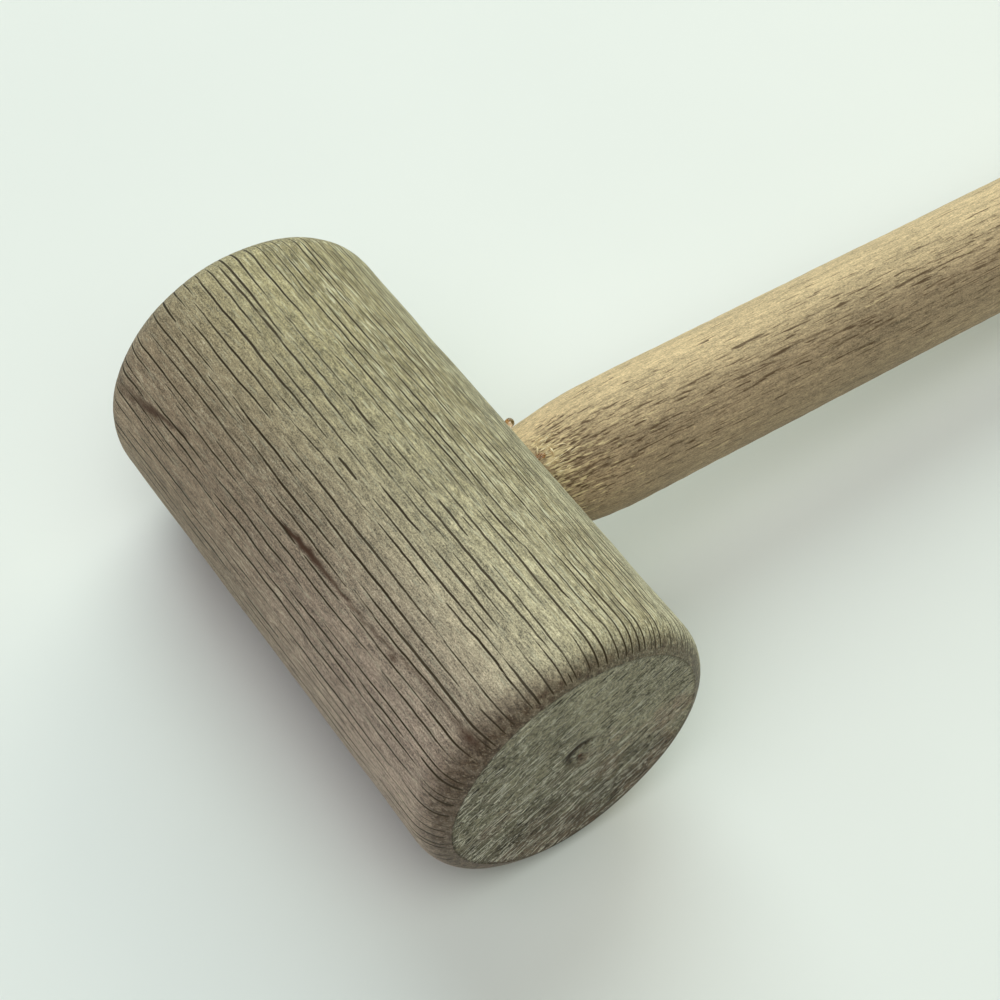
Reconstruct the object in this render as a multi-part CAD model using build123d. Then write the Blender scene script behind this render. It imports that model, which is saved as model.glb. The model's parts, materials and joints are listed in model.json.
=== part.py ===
from build123d import *

import os
from math import asin, atan2, cos, degrees, hypot, radians, sin

# Turned wooden mallet, lying at rest on a flat surface. Millimetres, +Z up.
#
# Every sub-part is first modelled square, about the centre of the head: the handle's axis is X,
# with the grip on the +X side, and the head's axis is Y. settle() then tips the whole mallet
# about the head's axis until the grip end touches the surface too, and moves the origin to
# the bottom centre of its box.

# ---- Driving dimensions ---------------------------------------------------------------------

# Head: a plain turned barrel. Its two end edges were rounded by hand and differ a little.
HEAD_DIAMETER = 45.0
HEAD_LENGTH = 87.0
FRONT_EDGE_RADIAL = 3.1         # rounding of the front (-Y) end, measured across the head
FRONT_EDGE_AXIAL = 5.0          # and measured along it
BACK_EDGE_RADIAL = 5.0
BACK_EDGE_AXIAL = 5.8

# Handle: a round tenon, a short neck cone and a straight grip, all in one piece.
HANDLE_DIAMETER = 19.0
HANDLE_REACH = 247.5            # from the head's axis to the grip end
HANDLE_OFFSET = -1.8            # the handle sits this far from the middle of the head's length
TENON_DIAMETER = 16.0
TENON_LENGTH = 33.0             # from the head's side: the bore is blind and doesn't come out
TENON_CHAMFER = 1.0
NECK_START = 21.5               # where the neck cone leaves the tenon, from the head's axis
NECK_END = 32.4                 # where it reaches the full handle
NECK_BLEND = 60.0               # radius that softens the end of the neck
GRIP_END_ROUND = 4.0

# Glue that holds the tenon in its bore
GLUE_THICKNESS = 0.15
GLUE_LINE_END = 20.8            # the film stops just inside the mouth, from the head's axis

# Glue pushed out of the joint and left to harden.
# Angles are about the handle's axis, from +Y towards +Z.
BEAD_RADIUS = 0.70
BEAD_ALONG_HEAD = 1.85          # from the middle of the head's length
BEAD_ROUND_HEAD = 28.0          # degrees about the head's axis, from +X towards +Z
BEAD_LIFT = 0.35                # its centre above the head's surface
SMEAR_START_ANGLE = 92.0
SMEAR_END_ANGLE = 116.0
SMEAR_THICKNESS = 0.5
SMEAR_END = 22.9                # its outer end, from the head's axis

# ---- Worked-out dimensions ------------------------------------------------------------------

HEAD_RADIUS = HEAD_DIAMETER / 2
HEAD_HALF = HEAD_LENGTH / 2
HANDLE_RADIUS = HANDLE_DIAMETER / 2
TENON_RADIUS = TENON_DIAMETER / 2
TENON_END = HEAD_RADIUS - TENON_LENGTH
BORE_RADIUS = TENON_RADIUS + GLUE_THICKNESS
BORE_END = TENON_END - GLUE_THICKNESS


def rest_tilt():
    """Angle, in degrees, at which the head's side and the grip end both touch the surface."""
    round_centre_along = HANDLE_REACH - GRIP_END_ROUND
    round_centre_across = HANDLE_RADIUS - GRIP_END_ROUND
    drop = HEAD_RADIUS - GRIP_END_ROUND
    reach = hypot(round_centre_along, round_centre_across)
    return degrees(asin(drop / reach) - atan2(round_centre_across, round_centre_along))


# ---- Helpers --------------------------------------------------------------------------------

def along_handle(radius, start, end):
    """Cylinder about the handle's axis between two distances from the head's axis."""
    rod = Cylinder(radius, end - start, align=(Align.CENTER, Align.CENTER, Align.MIN))
    return Pos(start, HANDLE_OFFSET, 0) * Rot(0, 90, 0) * rod


def edge_arc(centre, radial, axial, start_angle):
    """Quarter ellipse that rounds one end edge of the head, in the turning profile."""
    return EllipticalCenterArc(centre, radial, axial, start_angle, arc_size=90)


# ---- Head -----------------------------------------------------------------------------------

def make_head_blank():
    """The barrel before it is bored, turned about Y."""
    front_flat = HEAD_RADIUS - FRONT_EDGE_RADIAL
    back_flat = HEAD_RADIUS - BACK_EDGE_RADIAL
    front_side = -HEAD_HALF + FRONT_EDGE_AXIAL
    back_side = HEAD_HALF - BACK_EDGE_AXIAL
    outline = Polyline((front_flat, -HEAD_HALF), (0, -HEAD_HALF), (0, HEAD_HALF), (back_flat, HEAD_HALF))
    outline += edge_arc((front_flat, front_side), FRONT_EDGE_RADIAL, FRONT_EDGE_AXIAL, 270)
    outline += Line((HEAD_RADIUS, front_side), (HEAD_RADIUS, back_side))
    outline += edge_arc((back_flat, back_side), BACK_EDGE_RADIAL, BACK_EDGE_AXIAL, 0)
    return revolve(make_face(outline), Axis.Y)


def make_head(blank):
    """The barrel with its blind, flat-bottomed bore for the tenon."""
    return blank - along_handle(BORE_RADIUS, BORE_END, HEAD_DIAMETER)


# ---- Handle ---------------------------------------------------------------------------------

def make_handle():
    """Tenon, neck cone and grip, turned about X."""
    grip_round_start = HANDLE_REACH - GRIP_END_ROUND
    grip_flat = HANDLE_RADIUS - GRIP_END_ROUND
    outline = Polyline(
        (HANDLE_REACH, grip_flat),
        (HANDLE_REACH, 0),
        (TENON_END, 0),
        (TENON_END, TENON_RADIUS - TENON_CHAMFER),
        (TENON_END + TENON_CHAMFER, TENON_RADIUS),
        (NECK_START, TENON_RADIUS),
        (NECK_END, HANDLE_RADIUS),
        (grip_round_start, HANDLE_RADIUS),
    )
    outline += CenterArc((grip_round_start, grip_flat), GRIP_END_ROUND, 0, arc_size=90)
    profile = make_face(outline)
    neck_corner = profile.vertices().sort_by_distance((NECK_END, HANDLE_RADIUS))[0]
    profile = fillet(neck_corner, NECK_BLEND)
    return Pos(0, HANDLE_OFFSET, 0) * revolve(profile, Axis.X)


# ---- Glue -----------------------------------------------------------------------------------

def make_glue_line(handle):
    """The film that fills the bore round the tenon and past its end."""
    return along_handle(BORE_RADIUS, BORE_END, GLUE_LINE_END) - handle


def make_glue_bead(blank, handle):
    """A round drop that hardened on the head, beside the joint."""
    turn = radians(BEAD_ROUND_HEAD)
    lift = HEAD_RADIUS + BEAD_LIFT
    drop = Pos(lift * cos(turn), BEAD_ALONG_HEAD, lift * sin(turn)) * Sphere(BEAD_RADIUS)
    return drop - blank - handle


def make_glue_smear(blank, handle):
    """A short stretch of squeezed-out glue in the corner between the neck and the head."""
    smear_radius = BORE_RADIUS + SMEAR_THICKNESS
    section = make_face(Polyline(
        (0, 0),
        (SMEAR_END, 0),
        (SMEAR_END, BORE_RADIUS),
        (HEAD_RADIUS, smear_radius),
        (0, smear_radius),
        close=True,
    ))
    collar = revolve(section, Axis.X, SMEAR_END_ANGLE - SMEAR_START_ANGLE)
    collar = Pos(0, HANDLE_OFFSET, 0) * Rot(SMEAR_START_ANGLE, 0, 0) * collar
    return collar - blank - handle


# ---- Assembly -------------------------------------------------------------------------------

def settle(nodes):
    """Tip the mallet to its rest position and put the origin at the bottom centre of its box."""
    tipped = {name: Rot(0, rest_tilt(), 0) * shape for name, shape in nodes.items()}
    box = Compound(list(tipped.values())).bounding_box()
    middle = (box.min + box.max) / 2
    return {name: Pos(-middle.X, 0, HEAD_RADIUS) * shape for name, shape in tipped.items()}


def make_mallet():
    """Every sub-part at rest, by the name of its node."""
    blank = make_head_blank()
    handle = make_handle()
    return settle({
        "head": make_head(blank),
        "handle": handle,
        "glue_line": make_glue_line(handle),
        "glue_bead": make_glue_bead(blank, handle),
        "glue_smear": make_glue_smear(blank, handle),
    })


os.makedirs("parts", exist_ok=True)
for node, shape in make_mallet().items():
    export_step(shape, f"parts/{node}.step")
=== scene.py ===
import json
import math

import bmesh
import bpy
import numpy as np
from mathutils import Matrix, Vector
from mathutils.geometry import delaunay_2d_cdt


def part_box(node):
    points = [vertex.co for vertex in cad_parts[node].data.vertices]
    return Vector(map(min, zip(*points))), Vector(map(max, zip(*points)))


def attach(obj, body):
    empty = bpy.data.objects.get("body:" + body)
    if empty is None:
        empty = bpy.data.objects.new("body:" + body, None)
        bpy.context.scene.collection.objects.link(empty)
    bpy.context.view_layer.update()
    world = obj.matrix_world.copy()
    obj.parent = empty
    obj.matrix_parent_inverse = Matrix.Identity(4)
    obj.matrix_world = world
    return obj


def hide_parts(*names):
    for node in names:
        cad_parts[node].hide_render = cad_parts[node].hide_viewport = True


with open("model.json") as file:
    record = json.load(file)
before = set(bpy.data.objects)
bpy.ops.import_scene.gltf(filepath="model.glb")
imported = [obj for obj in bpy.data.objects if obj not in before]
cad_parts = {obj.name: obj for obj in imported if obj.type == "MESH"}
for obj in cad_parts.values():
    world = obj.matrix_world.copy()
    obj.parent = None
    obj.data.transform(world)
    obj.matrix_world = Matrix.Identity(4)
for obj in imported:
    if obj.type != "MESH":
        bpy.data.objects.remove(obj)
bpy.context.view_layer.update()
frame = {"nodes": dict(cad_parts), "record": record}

# A turned oak mallet: a barrel head and a round handle glued into a blind bore.
# Shapes are worked out in millimetres about the head's centre and turned into metres at the end.
# Round the head, angles go from +X (the handle's side) towards +Z, in degrees.
# Round the handle, angles go from +Y towards the handle's upper side, in degrees.

MM = 0.001
TAU = 2 * math.pi

# ---- Measures read from the frame ----

GRIP = next(m for m in frame["record"]["mounts"] if m["name"] == "grip")
HEAD_LOW, HEAD_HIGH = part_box("head")
HEAD_CENTRE = (HEAD_LOW + HEAD_HIGH) / 2
HEAD_RADIUS = (HEAD_HIGH.x - HEAD_LOW.x) / 2 / MM
HEAD_HALF = (HEAD_HIGH.y - HEAD_LOW.y) / 2 / MM

ALONG = Vector(GRIP["axis"]).normalized()
ACROSS = Vector((0, 1, 0))
UPWARD = ALONG.cross(ACROSS)
HANDLE_FOOT = Vector((HEAD_CENTRE.x, GRIP["pos_m"][1], HEAD_CENTRE.z))
HANDLE_RADIUS = GRIP["dims"]["r_mm"]

GLUE_LOW, GLUE_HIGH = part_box("glue_line")
BORE_RADIUS = (GLUE_HIGH.y - GLUE_LOW.y) / 2 / MM
BORE_END = ((GLUE_LOW.x - HEAD_CENTRE.x) / MM - BORE_RADIUS * ALONG.z) / ALONG.x

# ---- Measures of the turned shapes, as in the CAD model, in mm ----

FRONT_EDGE = {"radial": 3.1, "axial": 5.0}
BACK_EDGE = {"radial": 5.0, "axial": 5.8}
TENON_RADIUS = 8.0
TENON_CHAMFER = 1.0
GLUE_THICKNESS = 0.15
NECK_START = 21.5
NECK_END = 32.4
NECK_BLEND = 60.0
GRIP_END_ROUND = 4.0
HANDLE_REACH = 247.5
RAY_ANGLE = 27.0                # direction of the rays across the end grain, from +X to +Z
CENTRE_MARK = (1.55, 1.35)      # where the lathe's centre pressed into the front face, X and Z
LIT_SIDE_ANGLE = 60.0              # round the handle, the side that is painted paler, as painted light

# ---- Picture ----

CAMERA_AZIMUTH = -35.35
CAMERA_ELEVATION = 53.16
CAMERA_ROLL = 0.94
CAMERA_DISTANCE = 0.3297
CAMERA_AIM = Vector((0.0162, -0.0026, 0.0))     # from the head's centre
CAMERA_LENS = 84.05
SENSOR_WIDTH = 36.0


def colour(red, green, blue):
    """A colour given as it looks on a screen, 0 to 255, as linear red, green, blue and alpha."""
    def linear(value):
        value /= 255
        return value / 12.92 if value <= 0.04045 else ((value + 0.055) / 1.055) ** 2.4
    return (linear(red), linear(green), linear(blue), 1.0)


# ---- Shader building ----

class Shader:
    """One material, with short calls that add nodes to it and link them."""

    def __init__(self, name):
        self.material = bpy.data.materials.new(name)
        self.material.use_nodes = True
        self.tree = self.material.node_tree
        self.bsdf = self.tree.nodes["Principled BSDF"]
        coordinates = self.tree.nodes.new("ShaderNodeTexCoord").outputs["Object"]
        self.place = self.vector("SCALE", coordinates, scale=1 / MM)

    def feed(self, socket, value):
        if isinstance(value, bpy.types.NodeSocket):
            self.tree.links.new(value, socket)
        else:
            socket.default_value = value

    def vector(self, operation, *values, scale=None):
        node = self.tree.nodes.new("ShaderNodeVectorMath")
        node.operation = operation
        for socket, value in zip(node.inputs, values):
            self.feed(socket, value)
        if scale is not None:
            node.inputs["Scale"].default_value = scale
        return node.outputs["Value" if operation in ("LENGTH", "DOT_PRODUCT") else "Vector"]

    def math(self, operation, *values):
        node = self.tree.nodes.new("ShaderNodeMath")
        node.operation = operation
        for socket, value in zip(node.inputs, values):
            self.feed(socket, value)
        return node.outputs[0]

    def noise(self, stretch, detail=3.0, roughness=0.5, shift=0.0):
        """Noise whose blobs measure about 1/stretch mm along X, Y and Z."""
        moved = self.vector("ADD", self.place, (shift, shift, shift))
        node = self.tree.nodes.new("ShaderNodeTexNoise")
        self.feed(node.inputs["Vector"], self.vector("MULTIPLY", moved, stretch))
        node.inputs["Scale"].default_value = 1.0
        node.inputs["Detail"].default_value = detail
        node.inputs["Roughness"].default_value = roughness
        return node.outputs[0]

    def span(self, value, low, high, to_low=0.0, to_high=1.0):
        """value's range low..high mapped to to_low..to_high, and held there outside it."""
        node = self.tree.nodes.new("ShaderNodeMapRange")
        node.interpolation_type = "SMOOTHSTEP"
        for socket, part in zip(node.inputs, (value, low, high, to_low, to_high)):
            self.feed(socket, part)
        return node.outputs[0]

    def mix(self, factor, first, second):
        node = self.tree.nodes.new("ShaderNodeMix")
        node.data_type = "RGBA"
        self.feed(node.inputs[0], factor)
        self.feed(node.inputs[6], first)
        self.feed(node.inputs[7], second)
        return node.outputs[2]

    def brighten(self, tint, factor):
        """tint times factor, where factor is a number that varies over the surface."""
        if not isinstance(tint, bpy.types.NodeSocket):
            tint = tint[:3]
        return self.vector("MULTIPLY", tint, self.combine(factor, factor, factor))

    def layers(self, tone, *layers):
        """Tints laid over a tone in turn, from (how strongly, tint) pairs."""
        for strength, tint in layers:
            tone = self.mix(strength, tone, tint)
        return tone

    def combine(self, *values):
        node = self.tree.nodes.new("ShaderNodeCombineXYZ")
        for socket, value in zip(node.inputs, values):
            self.feed(socket, value)
        return node.outputs[0]

    def mark(self, name):
        """A number that the mesh carries at each of its points."""
        node = self.tree.nodes.new("ShaderNodeAttribute")
        node.attribute_name = name
        return node.outputs["Fac"]

    def bump(self, height, distance_mm):
        node = self.tree.nodes.new("ShaderNodeBump")
        node.inputs["Distance"].default_value = distance_mm * MM
        self.feed(node.inputs["Height"], height)
        self.feed(self.bsdf.inputs["Normal"], node.outputs[0])

    def times(self, *values):
        """The product of all the values."""
        result = values[0]
        for value in values[1:]:
            result = self.math("MULTIPLY", result, value)
        return result

    def reach(self, direction, origin=HEAD_CENTRE):
        """How far each point lies from an origin along a direction, in mm."""
        offset = self.vector("SUBTRACT", self.place, tuple(v / MM for v in origin))
        return self.vector("DOT_PRODUCT", offset, tuple(direction))

    def finish(self, tone, roughness, specular=0.5):
        """Give the surface its colour, roughness and strength of reflection."""
        self.feed(self.bsdf.inputs["Base Color"], tone)
        self.feed(self.bsdf.inputs["Roughness"], roughness)
        self.bsdf.inputs["Specular IOR Level"].default_value = specular

    def total(self, *parts, start=0.0):
        """start plus the sum of (amount, value) pairs."""
        result = start
        for amount, value in parts:
            result = self.math("MULTIPLY_ADD", value, amount, result)
        return result

    def shade(self, *parts):
        """A brightness about 1 that the noises raise and lower, from (amount, noise) pairs."""
        start = 1 - sum(amount for amount, _ in parts) / 2
        return self.math("MAXIMUM", self.total(*parts, start=start), 0.3)

    def veins(self, noise, thickness):
        """Thin wandering lines where a noise passes through its middle value."""
        away = self.math("ABSOLUTE", self.math("SUBTRACT", noise, 0.5))
        return self.span(away, thickness, thickness * 0.35)

    def crisp(self, distance, ragged, softness=0.08):
        """1 inside the lines drawn by draw(), with edges roughened by a noise."""
        moved = self.total((0.30, ragged), start=self.math("SUBTRACT", distance, 0.15))
        return self.span(moved, 0.5 - softness, 0.5 + softness)


# ---- Wood ----

def head_side_material():
    """Side grain of the head: fine speckle and fibres, dark ray lines, stains, edges darkened partly by
    rubbed polish and partly by painted shade, and painted light and sheen.
    """
    s = Shader("head_side_grain")
    toward_lit_side = s.reach((0.64, 0.0, 0.77))
    handleward = s.reach((0.94, 0.0, 0.34))
    endwise = s.reach((0.0, 1.0, 0.0))
    upper = s.reach((-0.14, 0.0, 0.99))
    leftward = s.reach((-1.0, 0.0, 0.0))
    patch = s.noise((0.10, 0.04, 0.10), detail=4.0, shift=11.0)
    streak = s.noise((0.55, 0.03, 0.55), roughness=0.6, shift=5.0)
    fibre = s.noise((3.0, 0.40, 3.0), roughness=0.65, shift=23.0)
    speck = s.noise((6.2, 3.6, 6.2), detail=2.0, roughness=0.6, shift=3.0)
    flecks = s.noise((4.6, 0.26, 4.6), detail=2.0, roughness=0.6, shift=83.0)

    # Painted light colour: olive on the side turned to the lamps, pinker brown on the side turned away.
    tone = s.mix(s.span(toward_lit_side, -5, 21), colour(162, 144, 124), colour(151, 143, 112))
    # Painted sheen: a pale grey-green glaze on the part of the barrel facing the handle's side.
    tone = s.mix(s.span(handleward, 18.5, 22.5, 0.0, 0.4), tone, colour(190, 190, 166))
    rough = s.times(s.math("SUBTRACT", fibre, 0.5), s.span(handleward, 0, 18, 0.2, 1.8))
    light = s.times(
        s.shade((0.45, patch), (0.7, streak), (2.0, fibre), (2.5, speck)),
        s.math("ADD", rough, 1.0),
        # Painted light: the barrel is painted brighter at its front end and again at its back end, with a
        # brighter strip along its top and a painted sheen on the side away from the handle.
        s.span(endwise, -32, 6, 1.10, 0.88),
        s.span(endwise, 14, 34, 1.0, 1.10),
        s.span(upper, 20.0, 22.4, 0.91, 1.14),
        s.span(leftward, 19.5, 22.4, 1.03, 1.18),
    )
    # Painted light colour: bluer towards the front end, warmer towards the back end.
    tint = s.mix(s.span(endwise, -34, 34), (1.07, 1.07, 1.15, 1.0), (1.0, 0.98, 0.90, 1.0))
    tone = s.vector("MULTIPLY", s.brighten(tone, light), tint)

    fleck = s.times(s.span(flecks, 0.57, 0.65), s.span(handleward, 4, 20, 0.25, 0.9))
    furrow = s.times(s.span(flecks, 0.43, 0.36), s.span(handleward, 4, 18, 0.1, 0.65))
    grainy = s.times(speck, s.span(patch, 0.38, 0.62, 0.75, 1.1))
    pale = s.times(s.span(fibre, 0.54, 0.68), s.span(grainy, 0.46, 0.60), 0.6)
    distance = s.mark("line")
    # Painted highlight: a pale rim just outside each dark line.
    lip_highlight = s.times(s.span(distance, 0.16, 0.30), s.span(distance, 0.46, 0.36), 0.22)
    line = s.times(s.crisp(distance, fibre), s.span(streak, 0.3, 0.6, 0.9, 1.0))
    # The edge bands: rubbed polish, and painted shade where the edges round over.
    burnish_and_shade_mask = s.mark("burnish_and_shade")
    scuff = s.times(s.span(fibre, 0.56, 0.66), burnish_and_shade_mask, 0.45)
    tone = s.layers(
        tone,
        (fleck, colour(208, 206, 178)),
        (furrow, colour(98, 91, 54)),
        (pale, colour(212, 206, 180)),
        (lip_highlight, colour(206, 200, 172)),
        (burnish_and_shade_mask, s.brighten(colour(80, 64, 48), light)),
        (scuff, colour(176, 164, 142)),
        (s.mark("stain"), colour(72, 46, 29)),
        (line, colour(46, 33, 6)),
    )
    s.finish(tone, s.total((0.2, fibre), (-0.18, burnish_and_shade_mask), start=0.6), 0.35)
    s.bump(s.total((0.8, fibre), (0.8, speck)), 0.08)
    return s.material


def head_end_material():
    """End grain of the head: grey, with pale wandering rays, brown blotches and open pores."""
    s = Shader("head_end_grain")
    rayed = s.reach((-0.75, 0.0, -0.66))
    low = s.reach((0.1, 0.0, -1.0))
    rings = turning_rings(s)
    s.place = turned_coordinates(s)
    patch = s.noise((0.11, 0.5, 0.14), shift=31.0)
    streak = s.noise((0.45, 0.5, 0.95), roughness=0.6, shift=14.0)
    vein = s.noise((0.30, 0.5, 1.15), roughness=0.6, shift=4.0)
    hair = s.noise((2.10, 0.5, 2.60), roughness=0.65, shift=19.0)
    speck = s.noise((4.6, 2.0, 5.0), detail=2.0, roughness=0.6, shift=15.0)

    # Brown patches, more of them towards the bottom of the face.
    lower_brown_patches = s.span(s.total((0.016, low), start=patch), 0.52, 0.72)
    tone = s.mix(lower_brown_patches, colour(137, 131, 109), colour(122, 105, 88))
    light = s.times(
        s.shade((1.6, streak), (2.4, hair), (2.8, speck), (0.9, patch)),
        # Painted light: the face is painted up to a fifth brighter towards its upper, handle side.
        s.span(rayed, -16, 4, 1.22, 1.0),
        s.span(rings, 0.5, 0.95, 1.0, 0.80),
    )
    stain = s.mark("stain")
    shown = s.times(s.span(rayed, -14, 12, 0.25, 1.0), s.span(patch, 0.38, 0.60, 0.4, 1.0))
    strong = s.times(s.span(streak, 0.38, 0.52), s.span(rayed, -14, 12, 0.35, 1.0))
    shadow = s.times(s.veins(s.math("ADD", vein, 0.045), 0.036), strong)
    ray = s.times(s.veins(vein, 0.030), strong)
    fine = s.times(s.veins(hair, 0.04), shown, shown, 0.40)
    dim = s.times(s.veins(s.math("ADD", hair, 0.08), 0.05), s.total((0.5, shown), start=0.15))
    pore = s.times(s.crisp(s.mark("line"), speck, 0.05), 0.9)
    pale = s.times(s.crisp(s.mark("pale"), speck, 0.05), s.span(rayed, -16, 8, 0.35, 0.95))
    tone = s.layers(
        s.brighten(tone, light),
        (stain, s.brighten(colour(62, 46, 34), light)),
        (dim, colour(64, 56, 43)),
        (s.times(shadow, 0.8), colour(54, 46, 34)),
        (s.times(ray, 0.9), colour(220, 214, 194)),
        (fine, colour(188, 182, 160)),
        (pore, colour(44, 36, 26)),
        (pale, colour(222, 216, 198)),
        # Painted shade along the face's rim and in the centre mark's ring, laid last.
        (s.mark("burnish_and_shade"), s.brighten(colour(46, 33, 23), light)),
        (s.span(stain, 0.5, 0.9), s.brighten(colour(92, 62, 46), light)),
    )
    s.finish(tone, s.total((0.2, hair), start=0.66), 0.3)
    s.bump(s.total((0.6, hair), (0.8, speck), (0.5, ray), (-0.4, shadow)), 0.12)
    return s.material


def turned_coordinates(s):
    """Place turned about the head's axis, so that X runs along the rays of the end grain."""
    node = s.tree.nodes.new("ShaderNodeVectorRotate")
    node.rotation_type = "Y_AXIS"
    s.feed(node.inputs["Vector"], s.place)
    node.inputs["Angle"].default_value = math.radians(RAY_ANGLE)
    return node.outputs[0]


def turning_rings(s):
    """Faint broken rings that the turning tool left about the lathe's centre."""
    middle = (HEAD_CENTRE.x / MM + CENTRE_MARK[0], 0.0, HEAD_CENTRE.z / MM + CENTRE_MARK[1])
    offset = s.vector("SUBTRACT", s.place, middle)
    away = s.vector("LENGTH", s.vector("MULTIPLY", offset, (1.0, 0.0, 1.0)))
    wobble = s.noise((0.25, 0.0, 0.25), detail=2.0, shift=61.0)
    phase = s.total((2.6, away), (9.0, wobble))
    broken = s.span(s.noise((0.5, 0.0, 0.5), detail=2.0, shift=71.0), 0.45, 0.6)
    return s.times(s.math("SINE", phase), broken)


def handle_coordinates(s):
    """Place along, across and above the handle's axis, so that grain follows the handle."""
    return s.combine(*(s.reach(axis, HANDLE_FOOT) for axis in (ALONG, ACROSS, UPWARD)))


def handle_side_material():
    """Side grain of the handle: warm and pale, with short dark pores and torn fibres."""
    s = Shader("handle_side_grain")
    s.place = handle_coordinates(s)
    turn = math.radians(LIT_SIDE_ANGLE)
    lit_side_direction = (0.0, math.cos(turn) / HANDLE_RADIUS, math.sin(turn) / HANDLE_RADIUS)
    lit = s.vector("DOT_PRODUCT", s.place, lit_side_direction)
    patch = s.noise((0.03, 0.1, 0.1), shift=7.0)
    streak = s.noise((0.05, 0.8, 0.8), roughness=0.6, shift=17.0)
    fibre = s.noise((0.55, 3.2, 3.2), roughness=0.65, shift=29.0)
    speck = s.noise((2.8, 5.4, 5.4), detail=2.0, roughness=0.6, shift=2.0)
    vessel = s.noise((0.48, 6.8, 6.8), detail=1.5, shift=37.0)

    # Painted light: the wood is painted paler on the side turned to the lamps and darker underneath.
    tone = s.mix(s.span(lit, 0.3, 1.0), colour(169, 147, 116), colour(203, 180, 140))
    light = s.shade((0.7, patch), (0.9, streak), (1.3, fibre), (1.5, speck))
    crowd = s.span(s.total((0.5, patch), (0.5, streak)), 0.4, 0.6, 0.4, 0.8)
    # Pores are painted fainter where that painted light is strongest.
    pore = s.times(s.span(vessel, 0.40, 0.34), crowd, s.span(lit, 0.75, 1.0, 1.0, 0.35))
    tone = s.layers(
        s.brighten(tone, light),
        (s.mark("stain"), s.brighten(colour(140, 112, 74), light)),
        (s.times(pore, 0.75), colour(92, 70, 45)),
        (s.times(s.crisp(s.mark("line"), fibre), 0.9), colour(80, 58, 35)),
        (s.times(s.crisp(s.mark("pale"), fibre), 0.75), colour(232, 210, 160)),
    )
    s.finish(tone, s.total((0.2, fibre), start=0.6), 0.35)
    s.bump(s.total((1.0, fibre), (0.6, speck), (-0.5, pore)), 0.07)
    return s.material


def fibre_material():
    """The pale torn fibres beside the joint."""
    s = Shader("torn_fibre")
    cloud = s.noise((1.5, 1.5, 1.5), shift=41.0)
    grain = s.noise((9.0, 9.0, 9.0), detail=2.0, shift=43.0)
    tone = s.mix(s.span(cloud, 0.3, 0.7), colour(248, 234, 196), colour(216, 190, 144))
    s.finish(s.brighten(tone, s.shade((0.8, grain))), s.span(grain, 0.3, 0.7, 0.5, 0.7))
    s.bump(grain, 0.02)
    return s.material


def glue_material(name, clearness, deep, pale):
    """Hardened amber glue: clear and glossy, with faint clouds."""
    s = Shader(name)
    cloud = s.noise((1.6, 1.6, 1.6), shift=1.0)
    s.finish(s.mix(s.span(cloud, 0.35, 0.65), pale, deep), s.span(cloud, 0.3, 0.7, 0.04, 0.12))
    s.bsdf.inputs["Transmission Weight"].default_value = clearness
    s.bsdf.inputs["IOR"].default_value = 1.5
    s.bump(cloud, 0.01)
    return s.material


def floor_material():
    """The plain pale table, with hardly visible clouds."""
    s = Shader("pale_table")
    cloud = s.noise((0.012, 0.012, 0.012))
    tone = s.mix(s.span(cloud, 0.3, 0.7), colour(228, 231, 227), colour(231, 234, 230))
    s.finish(tone, s.span(cloud, 0.3, 0.7, 0.5, 0.58), 0.25)
    return s.material


# ---- Lines in the wood ----

LINE_SOFTNESS = 0.5             # mm over which draw() goes from 0 to 1, with 0.5 on a line's edge


class Line:
    """One thin mark that follows the grain: a ray, a pore or a torn fibre."""

    def __init__(self, rng, across, start, length, half_width, wander=1.0):
        self.across = across
        self.start = start
        self.end = start + length
        self.half_width = half_width
        self.slope = rng.normal(0, 0.006) * wander
        self.waves = [
            (wander * rng.uniform(0.03, 0.12), TAU / rng.uniform(12, 24), rng.uniform(0, TAU)),
            (wander * rng.uniform(0.01, 0.05), TAU / rng.uniform(3, 6), rng.uniform(0, TAU)),
        ]

    def centre(self, along):
        offset = self.slope * (along - (self.start + self.end) / 2)
        for height, pace, phase in self.waves:
            offset = offset + height * np.sin(pace * along + phase)
        return self.across + offset


def draw(lines, along, step, columns, wraps):
    """How far inside the lines each point of a grid lies: 0.5 on an edge, more inside.

    The grid's rows are at the distances along, and its columns are step apart across the grain.
    """
    marks = np.zeros((len(along), columns))
    for line in lines:
        rows = np.nonzero((along > line.start) & (along < line.end))[0]
        if not len(rows):
            continue
        at = along[rows]
        centre = line.centre(at)
        taper = np.sin(np.pi * (at - line.start) / (line.end - line.start)) ** 0.4
        reach = int(math.ceil((line.half_width + LINE_SOFTNESS / 2) / step))
        nearest = np.round(centre / step).astype(int)
        for shift in range(-reach, reach + 1):
            column = nearest + shift
            inside = line.half_width * taper - np.abs(column * step - centre)
            value = np.clip(0.5 + inside / LINE_SOFTNESS, 0, 1)
            if wraps:
                column = column % columns
                shown = slice(None)
            else:
                shown = (column >= 0) & (column < columns)
            np.maximum.at(marks, (rows[shown], column[shown]), value[shown])
    return marks


def groove(marks):
    """Smooth groove or ridge shape, 0 to 1, for the marks that draw() made."""
    share = np.clip((marks - 0.3) / 0.45, 0, 1)
    return share * share * (3 - 2 * share)


def smooth_noise(rng, angle, along, waves, wavelength, round_length):
    """Gentle random relief, from -1 to 1 or so, that repeats once round a turned piece."""
    total = np.zeros(np.broadcast(angle, along).shape)
    for _ in range(waves):
        turns = rng.integers(0, max(2, int(round_length / wavelength)) + 1)
        pace = rng.normal(0, TAU / wavelength)
        total += np.sin(turns * angle + pace * along + rng.uniform(0, TAU))
    return total / math.sqrt(waves / 2)


# ---- Mesh building ----

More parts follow.
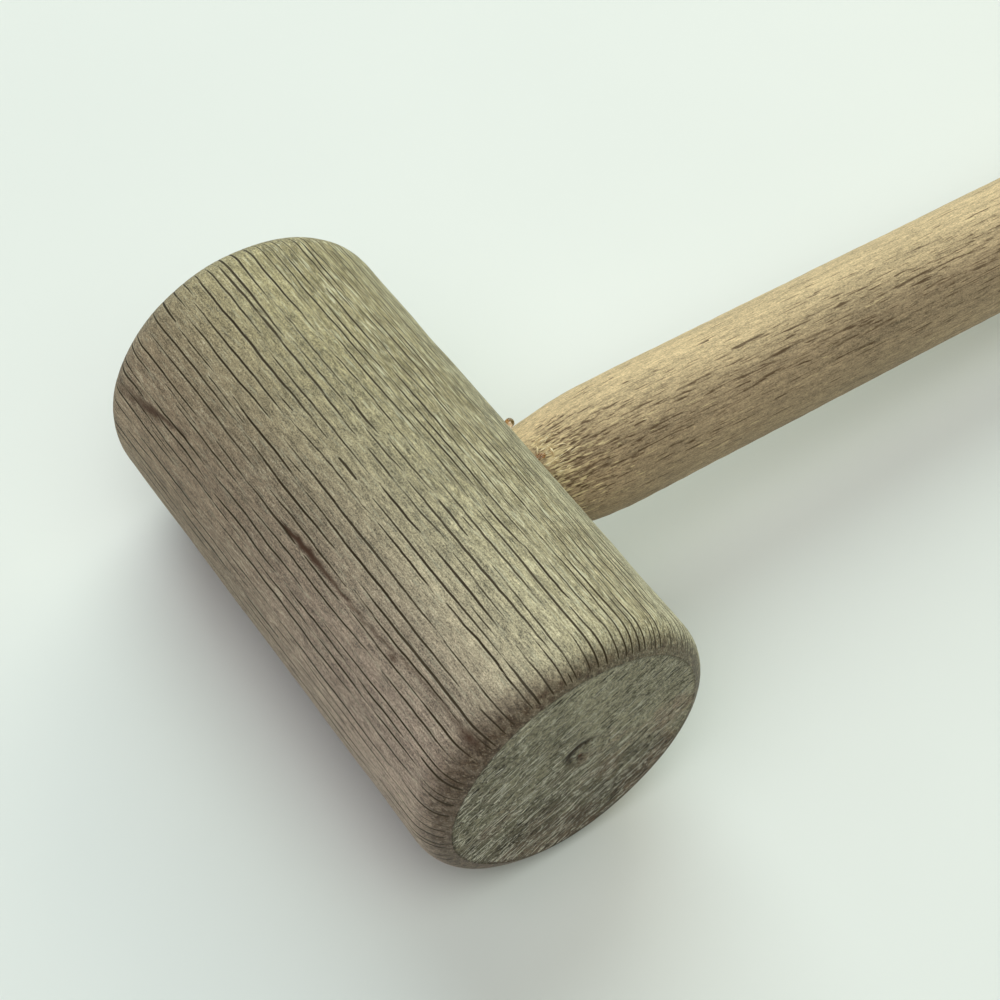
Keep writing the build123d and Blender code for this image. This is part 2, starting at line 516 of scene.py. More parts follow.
def grid_quads(rows, columns):
    """Quads of a grid that closes round its columns."""
    row, column = np.meshgrid(np.arange(rows - 1), np.arange(columns), indexing="ij")
    beside = (column + 1) % columns
    corners = [row * columns + column, row * columns + beside,
               (row + 1) * columns + beside, (row + 1) * columns + column]
    return np.stack(corners, -1).reshape(-1, 4)


def make_object(name, points, faces, materials, indices=None, marks=None):
    """A mesh object from points in metres. marks are numbers for each point, by name."""
    mesh = bpy.data.meshes.new(name)
    mesh.from_pydata(points.tolist(), [], faces)
    for material in materials:
        mesh.materials.append(material)
    if indices is not None:
        mesh.polygons.foreach_set("material_index", np.asarray(indices, dtype=np.int32))
    for mark, values in (marks or {}).items():
        attribute = mesh.attributes.new(mark, "FLOAT", "POINT")
        attribute.data.foreach_set("value", np.asarray(values, dtype=np.float32))
    shape = bmesh.new()
    shape.from_mesh(mesh)
    bmesh.ops.recalc_face_normals(shape, faces=shape.faces)
    for edge in shape.edges:
        edge.smooth = len({face.material_index for face in edge.link_faces}) == 1
    shape.to_mesh(mesh)
    shape.free()
    mesh.polygons.foreach_set("use_smooth", [True] * len(mesh.polygons))
    return new_object(name, mesh)


def new_object(name, data):
    """An object in the scene that shows a mesh, a light or a camera."""
    piece = bpy.data.objects.new(name, data)
    bpy.context.scene.collection.objects.link(piece)
    return piece


def shape_object(name, shape, material):
    """An object in the scene made from a bmesh, which is freed."""
    mesh = bpy.data.meshes.new(name)
    shape.to_mesh(mesh)
    shape.free()
    mesh.materials.append(material)
    return new_object(name, mesh)


def make_turned_object(name, points, marks, caps, materials):
    """A turned piece: a grid of rings in metres, closed at its first and last ring by two caps.

    A cap is its inner points, their marks and its triangles, which number the ring's points first
    and then the inner points. The first material goes on the side and the second on the caps.
    """
    rows, columns = points.shape[:2]
    parts = [points.reshape(-1, 3)]
    values = {mark: [field.ravel()] for mark, field in marks.items()}
    faces = grid_quads(rows, columns).tolist()
    indices = [0] * len(faces)
    count = rows * columns
    for row, (inner, fields, triangles) in zip((0, rows - 1), caps):
        local = np.array(triangles)
        local = np.where(local < columns, local + row * columns, local - columns + count)
        faces += local.tolist()
        indices += [1] * len(local)
        parts.append(inner)
        for mark in values:
            values[mark].append(fields.get(mark, np.zeros(len(inner))))
        count += len(inner)
    joined = {mark: np.concatenate(fields) for mark, fields in values.items()}
    return make_object(name, np.concatenate(parts), faces, materials, indices, joined)


def patch_faces(outline, inner, stretch):
    """Triangles that fill an outline through inner points. stretch lengthens them along X."""
    squeeze = np.array([1 / stretch, 1.0])
    flat = [Vector(p) for p in np.concatenate([outline, inner]) * squeeze]
    ring = [list(range(len(outline)))]
    found = delaunay_2d_cdt(flat, [], ring, 1, 1e-7)
    origin = [ids[0] for ids in found[3]]
    return [[origin[i] for i in face] for face in found[2]]


# ---- Head ----

HEAD_COLUMNS = 760
EDGE_ROWS = 11
BARREL_ROWS = 58
EDGE_CREASE = 0.22              # radians of each edge's quarter round left off at the flat face
LINE_DEPTH = 0.07
STAIN_DEPTH = 0.12
HIGHEST_RELIEF = 0.02
BORE_SEGMENTS = 160
BORE_OVERSHOOT = 5              # mm by which the cutter stands out of the head
FACE_STEP_ACROSS = 0.17         # mm between the points of the flat ends, across their rays
FACE_STEP_ALONG = 0.55
FACE_PORE_COUNT = 900
RING_DEPTH = 0.3                # of the ring and the point that the lathe's centre left
POINT_DEPTH = 0.45
LINE_FADE = 1.2                 # mm from the flat ends over which the lines begin
RELIEF_FADE = 0.8

RAY_SPACING = (1.5, 2.5)        # mm between ray lines where they are sparse
RAY_HALF_WIDTH = (0.11, 0.185)
RAY_LONGEST = 40.0
DENSE_ANGLE = 25                # round the head, where the ray lines are closest
BULGE_ANGLE = 142               # round the head, where the front edge's band of rubbed polish and painted shade is widest


def edge_profile(edge, flat_radius, wave):
    """Rows from the flat face to the side: radius and distance from the face, for each column."""
    turn = np.linspace(EDGE_CREASE, math.pi / 2, EDGE_ROWS)[:, None]
    radial = HEAD_RADIUS - flat_radius[None]
    axial = edge["axial"] * (1 + 0.12 * wave[None])
    radius = HEAD_RADIUS - radial * (1 - np.sin(turn)) / (1 - math.sin(EDGE_CREASE))
    depth = axial * (math.cos(EDGE_CREASE) - np.cos(turn)) / math.cos(EDGE_CREASE)
    return radius, depth


def head_rays(rng):
    """The dark ray lines of the side grain, laid in wavering columns round the head."""
    lines = []
    across = 0.0
    while across < TAU * HEAD_RADIUS - 1.0:
        angle = math.degrees(across / HEAD_RADIUS)
        dense = max(0.0, math.cos(math.radians(angle - DENSE_ANGLE))) ** 2
        spacing = rng.uniform(*RAY_SPACING) * (1 - 0.48 * dense)
        at = -HEAD_HALF - 3 - rng.uniform(0, 14)
        while at < HEAD_HALF + 3:
            length = min(RAY_LONGEST, rng.lognormal(2.85, 0.5))
            half_width = rng.uniform(*RAY_HALF_WIDTH) * (1 - 0.15 * dense)
            side = across + rng.normal(0, 0.13 * spacing)
            lines.append(Line(rng, side, at, length, half_width))
            if rng.random() < 0.10:
                beside = side + rng.choice((-1, 1)) * rng.uniform(0.7, 1.1)
                lines.append(Line(rng, beside, at, length * rng.uniform(0.2, 0.5), 0.10))
            at += length + rng.exponential(1.5) - 0.7
        across += spacing
    return lines


# Brown marks in the side grain. A path has (angle round the head, place along it, half width,
# strength), and a knot (angle, place, half width, half length, strength).
MINERAL_STREAK = [
    (132.0, -41.5, 0.50, 0.55), (131.8, -37.0, 0.55, 0.45), (131.9, -31.0, 0.35, 0.40),
    (133.5, -26.0, 0.28, 0.40), (135.3, -18.0, 0.24, 0.6), (135.4, -9.0, 0.34, 0.85),
    (135.6, -5.5, 0.62, 1.0), (136.2, -2.5, 0.58, 1.0), (137.2, 0.4, 0.36, 0.95), (137.6, 2.2, 0.12, 0.5),
]
BACK_SMUDGE = [
    (146.0, 23.0, 0.16, 0.4), (148.5, 27.0, 0.34, 0.7), (151.0, 30.0, 0.65, 0.9),
    (153.5, 33.5, 0.80, 0.75), (156.0, 38.0, 0.9, 0.45), (157.0, 42.0, 0.9, 0.2),
]
KNOTS = [(132.2, -40.6, 0.75, 1.1, 0.95), (135.5, -25.0, 0.45, 0.75, 0.9), (131.0, -27.0, 0.3, 0.4, 0.6)]


def stroke(path, angle, along):
    """How strongly a painted path of (angle, place, half width, strength) marks each point."""
    angles, places, widths, strengths = np.array(path).T
    centre = np.interp(along, places, angles)
    width = np.interp(along, places, widths)
    strength = np.interp(along, places, strengths, left=0, right=0)
    away = np.radians(angle - centre) * HEAD_RADIUS / width
    return strength * np.exp(-away ** 4)


def head_stains(angle, along):
    """The mineral streak, the knots and the smudge, with ragged edges."""
    ragged = angle + 0.35 * np.sin(along * 2.1) + 0.25 * np.sin(along * 4.7 + angle)
    stain = np.maximum(stroke(MINERAL_STREAK, ragged, along), stroke(BACK_SMUDGE, ragged, along))
    for centre, place, wide, long, strength in KNOTS:
        across = np.radians(angle - centre) * HEAD_RADIUS / wide
        stain = np.maximum(stain, strength * np.exp(-(across ** 2 + ((along - place) / long) ** 2)))
    return stain


def head_burnish_and_shade(rng, angle, from_front, from_back):
    """Dark bands at the end edges, widest round BULGE_ANGLE: partly polish where the edges were rubbed,
    partly painted shade where they round over.
    """
    turn = np.radians(angle)
    ragged = smooth_noise(rng, turn, from_front * 0, 14, 6.0, TAU * HEAD_RADIUS)
    fine = smooth_noise(rng, turn, from_front, 30, 1.4, TAU * HEAD_RADIUS)
    bulge = np.exp(-((angle - BULGE_ANGLE) / 50) ** 2)
    reach = 3.4 + 3.3 * bulge + 0.35 * ragged
    front = (0.74 + 0.24 * bulge) * np.clip(1.6 * (1 - from_front / reach), 0, 1)
    back = 0.3 * np.clip(1 - from_back / (1.8 + 0.6 * ragged), 0, 1)
    return np.clip(np.maximum(front, back) * (0.94 + 0.14 * fine), 0, 1)


def centre_mark(u, v):
    """How deep, 0 to 1, the ring and the point pressed in by the lathe's centre are."""
    u, v = u - CENTRE_MARK[0], v - CENTRE_MARK[1]
    away, around = np.hypot(u, v), np.arctan2(v, u)
    # The ring is deeper, and later painted darker, on its side turned away from the light.
    lopsided = np.clip(0.35 + 0.85 * np.cos(around - math.radians(128)), 0.06, 1)
    wander = 2.6 + 0.2 * np.sin(3 * around) + 0.12 * np.sin(7 * around + 1)
    ring = lopsided * np.exp(-((away - wander) / (0.25 + 0.45 * lopsided)) ** 2)
    point = np.exp(-(np.hypot(u + 0.75, (v + 0.35) / 1.4) / 0.55) ** 2)
    return ring, point


def end_grain_lines(rng, size, wander):
    """Pale ray lines and darker pores of an end face, as lines along the rays."""
    pale, dark = [], []
    across = 0.0
    while across < size:
        at = -rng.uniform(0, 6)
        while at < size:
            length = rng.lognormal(1.5, 0.5)
            offset = across + rng.normal(0, 0.12)
            pale.append(Line(rng, offset, at, length, rng.uniform(0.03, 0.11), wander))
            at += length + rng.exponential(1.8)
        across += rng.uniform(0.4, 0.9)
    for _ in range(FACE_PORE_COUNT):
        offset, at = rng.uniform(0, size, 2)
        length = rng.uniform(0.6, 2.4)
        dark.append(Line(rng, offset, at, length, rng.uniform(0.06, 0.13), wander))
    return pale, dark


def end_face(rng, outline, front):
    """Inner points, relief and marks of one flat end, on a grid laid along the rays."""
    turn = math.radians(RAY_ANGLE)
    half = HEAD_RADIUS + 1
    across = np.arange(0, 2 * half, FACE_STEP_ACROSS)
    along = np.arange(0, 2 * half, FACE_STEP_ALONG)
    pale, dark = (draw(lines, along, FACE_STEP_ACROSS, len(across), False)
                  for lines in end_grain_lines(rng, 2 * half, 2.0))
    grid_along, grid_across = np.meshgrid(along - half, across - half, indexing="ij")
    grid_along = grid_along + 0.5 * FACE_STEP_ALONG * (np.arange(len(across)) % 2)[None]
    u = grid_along * math.cos(turn) - grid_across * math.sin(turn)
    v = grid_along * math.sin(turn) + grid_across * math.cos(turn)
    edge_angle = np.arctan2(outline[:, 1], outline[:, 0])
    edge_radius = np.interp(np.arctan2(v, u), edge_angle, np.hypot(*outline.T), period=TAU)
    keep = np.hypot(u, v) < edge_radius - 0.18
    blotch = smooth_noise(rng, u / 9.0, v, 14, 9.0, 40.0)
    # Blotches, and a brown darkening that grows towards the bottom of the face.
    stain = np.clip(0.16 * blotch + 0.42 * (-v - 0.1 * u) / half, 0, 0.5)
    # Painted shade: a dark line along the rim of the face.
    burnish_and_shade = 0.7 * np.clip(1 - (edge_radius - np.hypot(u, v)) / 0.35, 0, 1)
    relief = 0.05 * groove(pale) - 0.07 * groove(dark)
    relief = relief + 0.025 * smooth_noise(rng, u / 9.0, v, 30, 1.6, 40.0)
    if front:
        ring, point = centre_mark(u, v)
        relief = relief - RING_DEPTH * ring - POINT_DEPTH * point
        # Painted shade in the centre mark's ring.
        burnish_and_shade = np.maximum(burnish_and_shade, ring)
        stain = np.maximum(stain, point)
    fields = {"pale": pale, "line": dark, "stain": stain, "burnish_and_shade": burnish_and_shade, "relief": relief}
    return np.stack([u[keep], v[keep]], 1), {name: f[keep] for name, f in fields.items()}


def head_grid(rng):
    """The side of the head as a grid: points in mm about its centre, and marks for each point."""
    angle = np.linspace(0, TAU, HEAD_COLUMNS, endpoint=False)
    wave = 0.6 * smooth_noise(rng, angle, 0 * angle, 8, 25.0, TAU * HEAD_RADIUS)
    front_flat = HEAD_RADIUS - FRONT_EDGE["radial"] + 0.35 * wave + 0.35 * np.cos(angle - 1.0)
    back_flat = HEAD_RADIUS - BACK_EDGE["radial"] + 0.4 * np.roll(wave, 300)
    front_radius, front_depth = edge_profile(FRONT_EDGE, front_flat, wave)
    back_radius, back_depth = edge_profile(BACK_EDGE, back_flat, np.roll(wave, 200))
    share = np.linspace(0, 1, BARREL_ROWS)[1:-1, None]
    low, high = front_depth[-1][None] - HEAD_HALF, HEAD_HALF - back_depth[-1][None]
    barrel = low + (high - low) * share
    radius = np.concatenate([front_radius, np.full_like(barrel, HEAD_RADIUS), back_radius[::-1]])
    place = np.concatenate([front_depth - HEAD_HALF, barrel, HEAD_HALF - back_depth[::-1]])

    # Distance along the surface, so that lines run round the edges at their true length.
    mean_radius, mean_place = radius.mean(1), place.mean(1)
    walked = np.concatenate([[0], np.cumsum(np.hypot(np.diff(mean_radius), np.diff(mean_place)))])
    middle = np.argmin(np.abs(mean_place))
    along = walked - walked[middle] + mean_place[middle]

    step = TAU * HEAD_RADIUS / HEAD_COLUMNS
    line = draw(head_rays(rng), along, step, HEAD_COLUMNS, True)
    degrees = np.degrees(angle)[None]
    stain = head_stains(degrees, place)
    burnish_and_shade = head_burnish_and_shade(rng, degrees, walked[:, None], (walked[-1] - walked)[:, None])
    fade = np.minimum(walked, walked[-1] - walked)[:, None]
    line = line * np.clip(fade / LINE_FADE, 0, 1)

    relief = -LINE_DEPTH * groove(line) - STAIN_DEPTH * stain
    relief = relief + 0.03 * smooth_noise(rng, angle[None], place, 16, 12.0, TAU * HEAD_RADIUS)
    relief = relief * np.clip(fade / RELIEF_FADE, 0, 1)
    radius = radius + np.minimum(relief, HIGHEST_RELIEF)
    points = np.stack([radius * np.cos(angle), place, radius * np.sin(angle)], -1)
    marks = {"line": line, "stain": stain, "burnish_and_shade": burnish_and_shade, "pale": np.zeros_like(line)}
    return points, marks


def make_head_mesh(rng, side, end):
    """The whole head before it is bored."""
    grid, marks = head_grid(rng)
    turn = math.radians(RAY_ANGLE)
    spin = np.array([[math.cos(turn), -math.sin(turn)], [math.sin(turn), math.cos(turn)]])
    centre = np.array(HEAD_CENTRE)
    caps = []
    for ring, sign in ((grid[0], -1), (grid[-1], 1)):
        outline = ring[:, [0, 2]]
        inner, fields = end_face(rng, outline, sign < 0)
        triangles = patch_faces(outline @ spin, inner @ spin, FACE_STEP_ALONG / FACE_STEP_ACROSS)
        depth = sign * (HEAD_HALF + fields["relief"])
        caps.append((np.stack([inner[:, 0], depth, inner[:, 1]], 1) * MM + centre, fields, triangles))
    return make_turned_object("oak_head", grid * MM + centre, marks, caps, [side, end])


def bore(piece, material):
    """Cut the blind, flat-bottomed bore into the head."""
    cutter = bmesh.new()
    length = (HEAD_RADIUS + BORE_OVERSHOOT - BORE_END) * MM
    bmesh.ops.create_cone(cutter, cap_ends=True, segments=BORE_SEGMENTS, radius1=BORE_RADIUS * MM,
                          radius2=BORE_RADIUS * MM, depth=length)
    place = HANDLE_FOOT + ALONG * (BORE_END * MM + length / 2)
    turn = Matrix((ACROSS, UPWARD, ALONG)).transposed().to_4x4()
    cutter.transform(Matrix.Translation(place) @ turn)
    tool = shape_object("bore_cutter", cutter, material)
    cut = piece.modifiers.new("bore", "BOOLEAN")
    cut.operation = "DIFFERENCE"
    cut.solver = "EXACT"
    cut.material_mode = "TRANSFER"
    cut.object = tool
    graph = bpy.context.evaluated_depsgraph_get()
    mesh = bpy.data.meshes.new_from_object(piece.evaluated_get(graph))
    piece.modifiers.clear()
    piece.data = mesh
    bpy.data.objects.remove(tool)


# ---- Handle ----

HANDLE_COLUMNS = 360
NECK_SHOWS = 21.4               # distance along the axis at which the handle leaves the head
TORN_ANGLE = 118                # round the handle, where the neck is torn most
PORE_COUNT = 5800
SPLINTER_COUNT = 1600
TORN_COUNT = 900
JOINT_TORN_COUNT = 420


def handle_rows():
    """Distances along the handle at which its profile is drawn, closer where it shows more."""
    return np.concatenate([
        np.linspace(BORE_END + GLUE_THICKNESS + TENON_CHAMFER, 20.0, 10),
        np.arange(20.3, 45.0, 0.31),
        np.arange(45.0, 120.0, 0.8),
        np.arange(120.0, HANDLE_REACH - GRIP_END_ROUND, 2.2),
    ])


def handle_radius(along):
    """Radius of tenon, neck cone, blend and grip."""
    slope = (HANDLE_RADIUS - TENON_RADIUS) / (NECK_END - NECK_START)
    cone = TENON_RADIUS + (along - NECK_START) * slope
    blend_end = NECK_END + NECK_BLEND * math.tan(math.atan(slope) / 2)
    blend = HANDLE_RADIUS - (blend_end - along) ** 2 / (2 * NECK_BLEND)
    blend_start = 2 * NECK_END - blend_end
    radius = np.where(along < NECK_START, TENON_RADIUS, cone)
    radius = np.where(along > blend_start, blend, radius)
    return np.where(along > blend_end, HANDLE_RADIUS, radius)


def handle_line(rng, degrees, start, length, half_widths, wander):
    """One line at an angle round the handle."""
    across = HANDLE_RADIUS * math.radians(degrees)
    return Line(rng, across, start, length, rng.uniform(*half_widths), wander)


def handle_lines(rng):
    """Dark pores and pale torn fibres along the handle."""
    dark, pale = [], []
    for _ in range(PORE_COUNT):
        crowded = rng.random() < 0.5
        degrees = rng.normal(117, 22) if crowded else rng.uniform(0, 360)
        start = 22 + 222 * rng.random() ** 1.1
        length = rng.lognormal(1.15, 0.5)
        dark.append(handle_line(rng, degrees, start, length, (-0.02, 0.062), 0.5))
    for _ in range(SPLINTER_COUNT):
        degrees = rng.uniform(0, 360)
        start = rng.uniform(22, 243)
        length = rng.lognormal(0.7, 0.5)
        pale.append(handle_line(rng, degrees, start, length, (0.01, 0.06), 0.5))
    for _ in range(TORN_COUNT):
        degrees = rng.normal(122, 32)
        start = NECK_SHOWS + rng.exponential(5.5)
        length = rng.lognormal(0.55, 0.45)
        torn = handle_line(rng, degrees, start, length, (-0.01, 0.07), 1.6)
        (dark if rng.random() < 0.62 else pale).append(torn)
    for _ in range(JOINT_TORN_COUNT):
        degrees = rng.normal(106, 16)
        length = rng.lognormal(0.4, 0.45)
        start = NECK_SHOWS + rng.exponential(2.6)
        torn = handle_line(rng, degrees, start, length, (0.0, 0.08), 1.8)
        (dark if rng.random() < 0.55 else pale).append(torn)
    return dark, pale


def make_handle_mesh(rng, side, end):
    """The handle: tenon, torn neck, grip and rounded end."""
    along = handle_rows()
    angle = np.linspace(0, TAU, HANDLE_COLUMNS, endpoint=False)
    round_length = TAU * HANDLE_RADIUS
    step = round_length / HANDLE_COLUMNS
    dark, pale = (draw(lines, along, step, HANDLE_COLUMNS, True) for lines in handle_lines(rng))
    outside = np.clip((along - 21.2) / 0.8, 0, 1)[:, None]
    torn = np.exp(-(np.clip(along - 21, 0, None) / 11) ** 2)[:, None]
    torn = torn * np.exp(-((np.degrees(angle)[None] - TORN_ANGLE) / 55) ** 2)
    relief = -(0.05 + 0.20 * torn) * groove(dark) + (0.03 + 0.17 * torn) * groove(pale)
    for height, waves, wavelength in ((0.012, 12, 30.0), (0.015, 20, 7.0)):
        swell = smooth_noise(rng, angle[None], along[:, None], waves, wavelength, round_length)
        relief = relief + height * swell
    radius = handle_radius(along)[:, None] + outside * relief

    # The tenon's chamfered end comes before these rings, and the grip's rounded end after them.
    turn = np.linspace(0, math.pi / 2, 11)[1:]
    end_along = HANDLE_REACH - GRIP_END_ROUND + GRIP_END_ROUND * np.sin(turn)
    end_radius = HANDLE_RADIUS - GRIP_END_ROUND + GRIP_END_ROUND * np.cos(turn)
    settle = np.linspace(1, 0, len(turn))[:, None]
    all_along = np.concatenate([[BORE_END + GLUE_THICKNESS], along, end_along])
    all_radius = np.concatenate([
        np.full((1, HANDLE_COLUMNS), TENON_RADIUS - TENON_CHAMFER), radius,
        end_radius[:, None] + (radius[-1] - HANDLE_RADIUS) * settle,
    ])
    fields = {"line": dark, "pale": pale, "stain": 0.4 * torn}
    marks = {name: np.pad(field, ((1, len(turn)), (0, 0))) for name, field in fields.items()}

    points = handle_points(all_along[:, None], angle[None], all_radius)
    caps = []
    for row in (0, -1):
        inner, triangles = cap(rng, all_radius[row], angle)
        place = all_along[row] + 0.03 * rng.normal(size=len(inner))
        around = np.arctan2(inner[:, 1], inner[:, 0])
        caps.append((handle_points(place, around, np.hypot(*inner.T)), {}, triangles))
    return make_turned_object("oak_handle", points, marks, caps, [side, end])


def cap(rng, radius, angle):
    """Inner points and triangles that close one end of the handle."""
    outline = np.stack([radius * np.cos(angle), radius * np.sin(angle)], 1)
    limit = radius.min() - 0.25
    grid = np.arange(-limit, limit, 0.45)
    x, y = np.meshgrid(grid, grid)
    inside = np.hypot(x, y) < limit
    inner = np.stack([x[inside], y[inside]], 1) + rng.uniform(-0.08, 0.08, (inside.sum(), 2))
    return inner, patch_faces(outline, inner, 1.0)


def handle_points(along, angle, radius):
    """Points in metres at a distance along the handle, an angle round it and a radius."""
    along, angle, radius = np.broadcast_arrays(along, angle, radius)
    place = (along[..., None] * np.array(ALONG) + (radius * np.cos(angle))[..., None] * np.array(ACROSS)
             + (radius * np.sin(angle))[..., None] * np.array(UPWARD))
    return place * MM + np.array(HANDLE_FOOT)


# ---- Torn fibres and glue at the joint ----

FIBRE_COUNT = 46
# The first fibres stand up across the grain: start and length along the handle, angle round it
# and sweep across the grain, in mm and degrees.
STANDING_FIBRES = [(23.75, -0.2, 104.5, 1.7), (22.4, -0.75, 95.5, 1.3)]
STANDING_LIFT = 0.42
STANDING_THICKNESS = 0.16
SMEAR_AT = (21.9, 102.5)        # distance along the handle in mm, and angle round it
SMEAR_SIZE = (0.72, 0.62)       # half length along the handle and half width round it, in mm
SMEAR_HEIGHT = 0.20
SMEAR_ROOT = 0.12               # mm that the smear's underside reaches into the wood
BEAD_SPREAD = 0.22              # how much the bead widens towards the wood it wets
BEAD_SQUASH = 0.96


def closed_tube_faces(rings, sides):
    """Quads between the rings of a tube, and one face over each of its ends."""
    first = list(range(sides))
    last = [corner + (rings - 1) * sides for corner in first]
    return grid_quads(rings, sides).tolist() + [first[::-1], last]


def tube(points, thickness, sides=6):
    """Points and faces of a closed strand along a path, tapered to both ends."""
    tangent = np.gradient(points, axis=0)
    tangent /= np.linalg.norm(tangent, axis=1)[:, None]
    side = np.cross(tangent, np.array(ACROSS) + 0.3)
    side /= np.linalg.norm(side, axis=1)[:, None]
    other = np.cross(tangent, side)
    turn = np.linspace(0, TAU, sides, endpoint=False)[None, :, None]
    share = np.linspace(0, 1, len(points))
    radius = thickness * (0.25 + 0.75 * np.sin(np.pi * share) ** 0.6)[:, None, None]
    rings = points[:, None] + radius * (np.cos(turn) * side[:, None] + np.sin(turn) * other[:, None])
    return rings.reshape(-1, 3), closed_tube_faces(len(points), sides)


def make_fibres(rng, material):
    """Fibres torn up from the neck beside the joint."""
    share = np.linspace(0, 1, 10)
    points, faces, count = [], [], 0
    for number in range(FIBRE_COUNT):
        if number < len(STANDING_FIBRES):
            start, length, angle, sweep = STANDING_FIBRES[number]
            lift, thickness, curl = STANDING_LIFT, STANDING_THICKNESS, 0.0
        else:
            start, length = 21.5 + rng.exponential(1.7), rng.uniform(0.8, 3.0)
            angle, sweep = rng.normal(103, 13), rng.normal(0, 0.22)
            lift, thickness = rng.uniform(0.06, 0.30), rng.uniform(0.035, 0.07)
            curl = rng.uniform(-0.25, 0.25)
        along = start + length * share
        height = lift * np.sin(np.pi * share ** rng.uniform(0.6, 1.3)) - 0.05
        sideways = sweep * (share - 0.5) + curl * np.sin(np.pi * share)
        radius = handle_radius(along) + height
        path = handle_points(along, math.radians(angle) + sideways / radius, radius)
        ring, quads = tube(path, thickness * MM)
        points.append(ring)
        faces += [[corner + count for corner in face] for face in quads]
        count += len(ring)
    return make_object("neck_fibres", np.concatenate(points), faces, [material])


def make_glue_smear(rng, material):
    """A thin, uneven film of glue that crept out of the joint on to the neck."""
    turns, rings = 48, 12
    angle = np.linspace(0, TAU, turns, endpoint=False)
    outline = 1 + 0.16 * np.sin(2 * angle + 1) + 0.12 * np.sin(3 * angle) + 0.07 * np.sin(7 * angle)
    share = np.linspace(0, 1, rings + 1)[1:, None]
    lumps = 1 + 0.15 * smooth_noise(rng, angle[None], share * 2, 8, 1.0, 4.0)
    top = SMEAR_HEIGHT * np.sqrt(1 - share ** 2) * lumps
    root = -SMEAR_ROOT * (1 - share ** 2) * np.ones_like(lumps)

    # The rings go outwards over the top and come back underneath.
    reach = np.concatenate([share, share[-2::-1]]) * outline
    height = np.concatenate([top, root[-2::-1]])
    along = SMEAR_AT[0] + SMEAR_SIZE[0] * reach * np.cos(angle)
    radius = handle_radius(along) + height
    around = math.radians(SMEAR_AT[1]) + SMEAR_SIZE[1] * reach * np.sin(angle) / radius
    points = handle_points(along, around, radius).reshape(-1, 3)
    return make_object("amber_smear", points, closed_tube_faces(len(reach), turns), [material])


def make_glue_bead(material):
    """The round drop beside the joint, spread a little where it wets the wood."""
    low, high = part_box("glue_bead")
    centre = (low + high) / 2
    radius = (high.y - low.y) / 2
    outward = Vector((centre.x - HEAD_CENTRE.x, 0, centre.z - HEAD_CENTRE.z)).normalized()
    shape = bmesh.new()
    bmesh.ops.create_icosphere(shape, subdivisions=5, radius=radius)
    for vertex in shape.verts:
        height = vertex.co.dot(outward)
        spread = 1 + BEAD_SPREAD * max(0.0, -height / radius - 0.25)
        flat = vertex.co - outward * height
        vertex.co = centre + flat * spread + outward * height * BEAD_SQUASH
    piece = shape_object("amber_bead", shape, material)
    piece.data.shade_smooth()
    return piece


# ---- Stage ----

LAMP_TARGET = Vector((-0.06, 0, 0))
LAMP_DISTANCE = 3.0
FLOOR_RADIUS = 1.6
FLOOR_SEGMENTS = 96
# Name, azimuth, elevation, width in metres, and watts of red, green and blue.
LAMPS = [
    ("window", 30, 40, 3.0, (55.0, 64.0, 64.0)),
    ("low_window", 60, 18, 2.5, (31.0, 26.5, 16.5)),
    ("room_front", 180, 65, 3.0, (29.5, 34.5, 28.5)),
    ("room_left", 240, 65, 3.0, (38.5, 35.5, 39.0)),
]


def make_floor():
    shape = bmesh.new()
    bmesh.ops.create_circle(shape, cap_ends=True, segments=FLOOR_SEGMENTS, radius=FLOOR_RADIUS)
    floor = shape_object("table", shape, floor_material())


def heading(azimuth, elevation):
    """Direction at an azimuth, from +Y towards +X, and a height above the floor, in degrees."""
    turn, rise = math.radians(azimuth), math.radians(elevation)
    return Vector((math.sin(turn) * math.cos(rise), math.cos(turn) * math.cos(rise), math.sin(rise)))


def make_lamp(name, azimuth, elevation, size, power):
    """A round soft box that looks at the mallet."""
    direction = heading(azimuth, elevation)
    light = bpy.data.lights.new(name, "AREA")
    light.shape = "DISK"
    light.size = size
    light.energy = max(power)
    light.color = [part / max(power) for part in power]
    lamp = new_object(name, light)
    lamp.location = LAMP_TARGET + direction * LAMP_DISTANCE
    lamp.rotation_euler = (-direction).to_track_quat("-Z", "Y").to_euler()


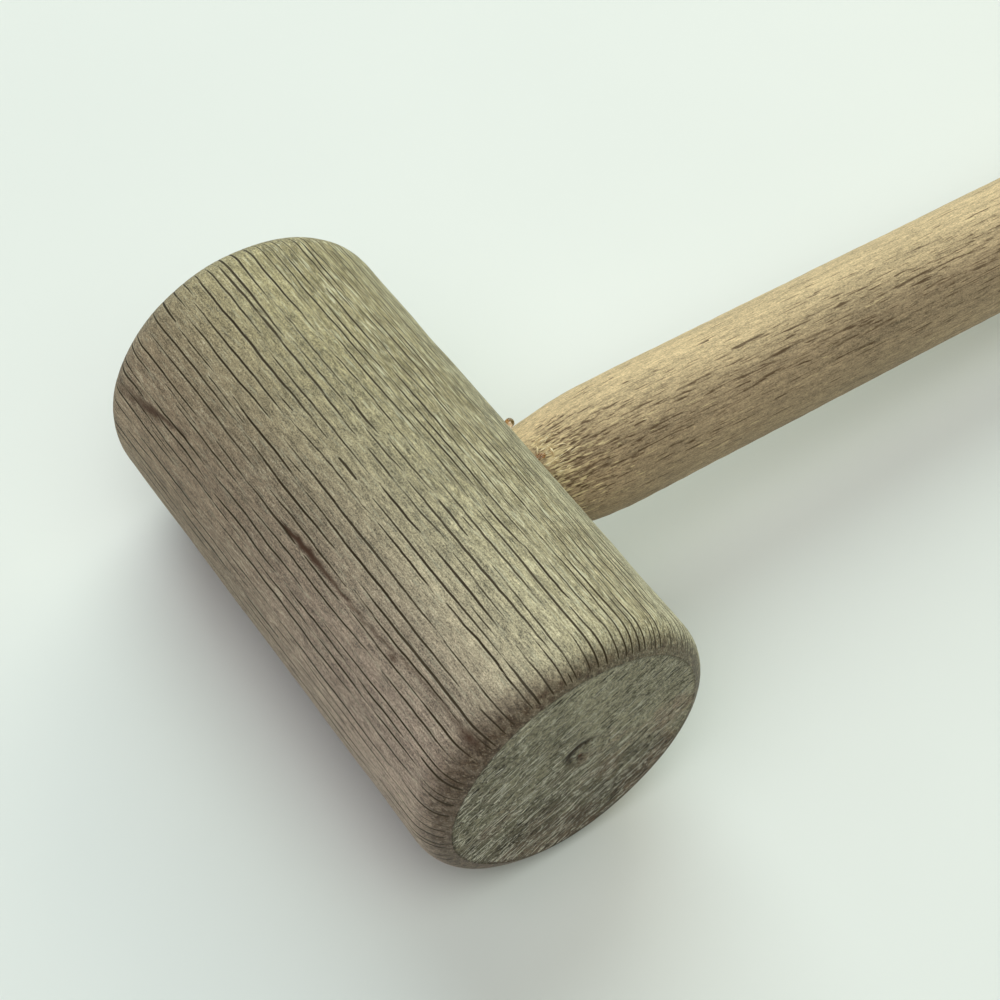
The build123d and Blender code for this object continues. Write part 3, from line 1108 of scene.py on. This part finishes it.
def make_camera():
    """The camera, which looks down at the head from beyond its front face."""
    roll = math.radians(CAMERA_ROLL)
    forward = heading(-CAMERA_AZIMUTH, -CAMERA_ELEVATION)
    level = forward.cross(Vector((0, 0, 1))).normalized()
    up = level.cross(forward) * math.cos(roll) - level * math.sin(roll)
    right = forward.cross(up)
    place = HEAD_CENTRE + CAMERA_AIM - forward * CAMERA_DISTANCE
    camera = new_object("camera", bpy.data.cameras.new("camera"))
    camera.data.lens = CAMERA_LENS
    camera.data.sensor_width = SENSOR_WIDTH
    camera.data.clip_start = 0.01
    rotation = Matrix((right, up, -forward)).transposed().to_4x4()
    camera.matrix_world = Matrix.Translation(place) @ rotation
    bpy.context.scene.camera = camera


def make_world(tint, backdrop):
    """A dim room, seen as a pale backdrop."""
    world = bpy.data.worlds.new("soft_room")
    world.use_nodes = True
    nodes, links = world.node_tree.nodes, world.node_tree.links
    seen = nodes.new("ShaderNodeLightPath").outputs["Is Camera Ray"]
    mix = nodes.new("ShaderNodeMix")
    mix.data_type = "RGBA"
    links.new(seen, mix.inputs[0])
    mix.inputs[6].default_value = tint
    mix.inputs[7].default_value = backdrop
    links.new(mix.outputs[2], nodes["Background"].inputs["Color"])
    bpy.context.scene.world = world


# ---- The mallet ----

def main():
    bpy.context.scene.view_settings.view_transform = "Standard"
    make_camera()
    make_world(colour(38, 40, 39), colour(226, 233, 226))
    for lamp in LAMPS:
        make_lamp(*lamp)
    make_floor()

    side_grain = head_side_material()
    end_grain = head_end_material()
    handle_grain = handle_side_material()
    clear_glue = glue_material("clear_amber", 1.0, colour(190, 152, 116), colour(232, 206, 174))
    thin_glue = glue_material("thin_amber", 0.85, colour(226, 166, 106), colour(240, 200, 146))

    head = make_head_mesh(np.random.default_rng(7), side_grain, end_grain)
    bore(head, end_grain)
    handle = make_handle_mesh(np.random.default_rng(21), handle_grain, end_grain)
    fibres = make_fibres(np.random.default_rng(5), fibre_material())
    smear = make_glue_smear(np.random.default_rng(3), thin_glue)
    bead = make_glue_bead(clear_glue)

    replacements = [(head, "head", "head_wood"), (handle, "handle", "handle_wood"),
                    (smear, "glue_smear", "glue"), (bead, "glue_bead", "glue")]
    for piece, node, slot in replacements:
        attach(piece, "root")
        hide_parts(node)
    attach(fibres, "root")
    film = frame["nodes"]["glue_line"]
    film.data.materials.clear()
    film.data.materials.append(thin_glue)


main()
